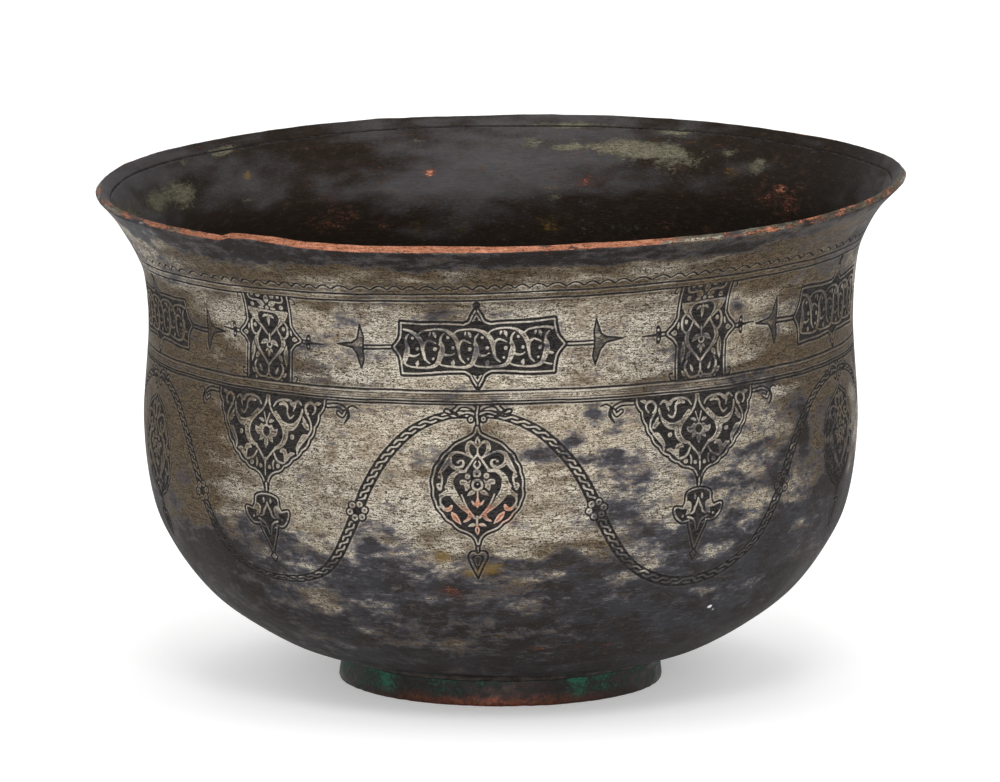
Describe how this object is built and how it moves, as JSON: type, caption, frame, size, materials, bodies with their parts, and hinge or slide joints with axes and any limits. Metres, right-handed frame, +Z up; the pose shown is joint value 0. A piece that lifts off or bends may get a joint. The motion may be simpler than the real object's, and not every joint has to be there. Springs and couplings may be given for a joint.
{
  "type": "tinned copper bowl",
  "caption": "Deep round metal bowl with a flared lip, engraved bands and medallions, standing on a low soldered foot ring; holds food or liquid.",
  "frame": {"origin": "centre of the foot ring's flat lower edge, which stands on the surface", "axes": "+Z up along the bowl's axis, -Y towards the side that the picture shows, +X to its right"},
  "size_m": [0.28, 0.28, 0.1776],
  "materials": {
    "tinned_copper": "worn tin over copper, engraved lines filled black",
    "foot_copper": "dark copper with green corrosion",
    "brazing": "dull",
    "solder": "dull tin solder"
  },
  "bodies": {
    "root": {"bowl_shell": "tinned_copper", "foot_ring": "foot_copper", "foot_ring_seam": "brazing", "foot_solder_outer": "solder", "foot_solder_inner": "solder"}
  },
  "joints": []
}
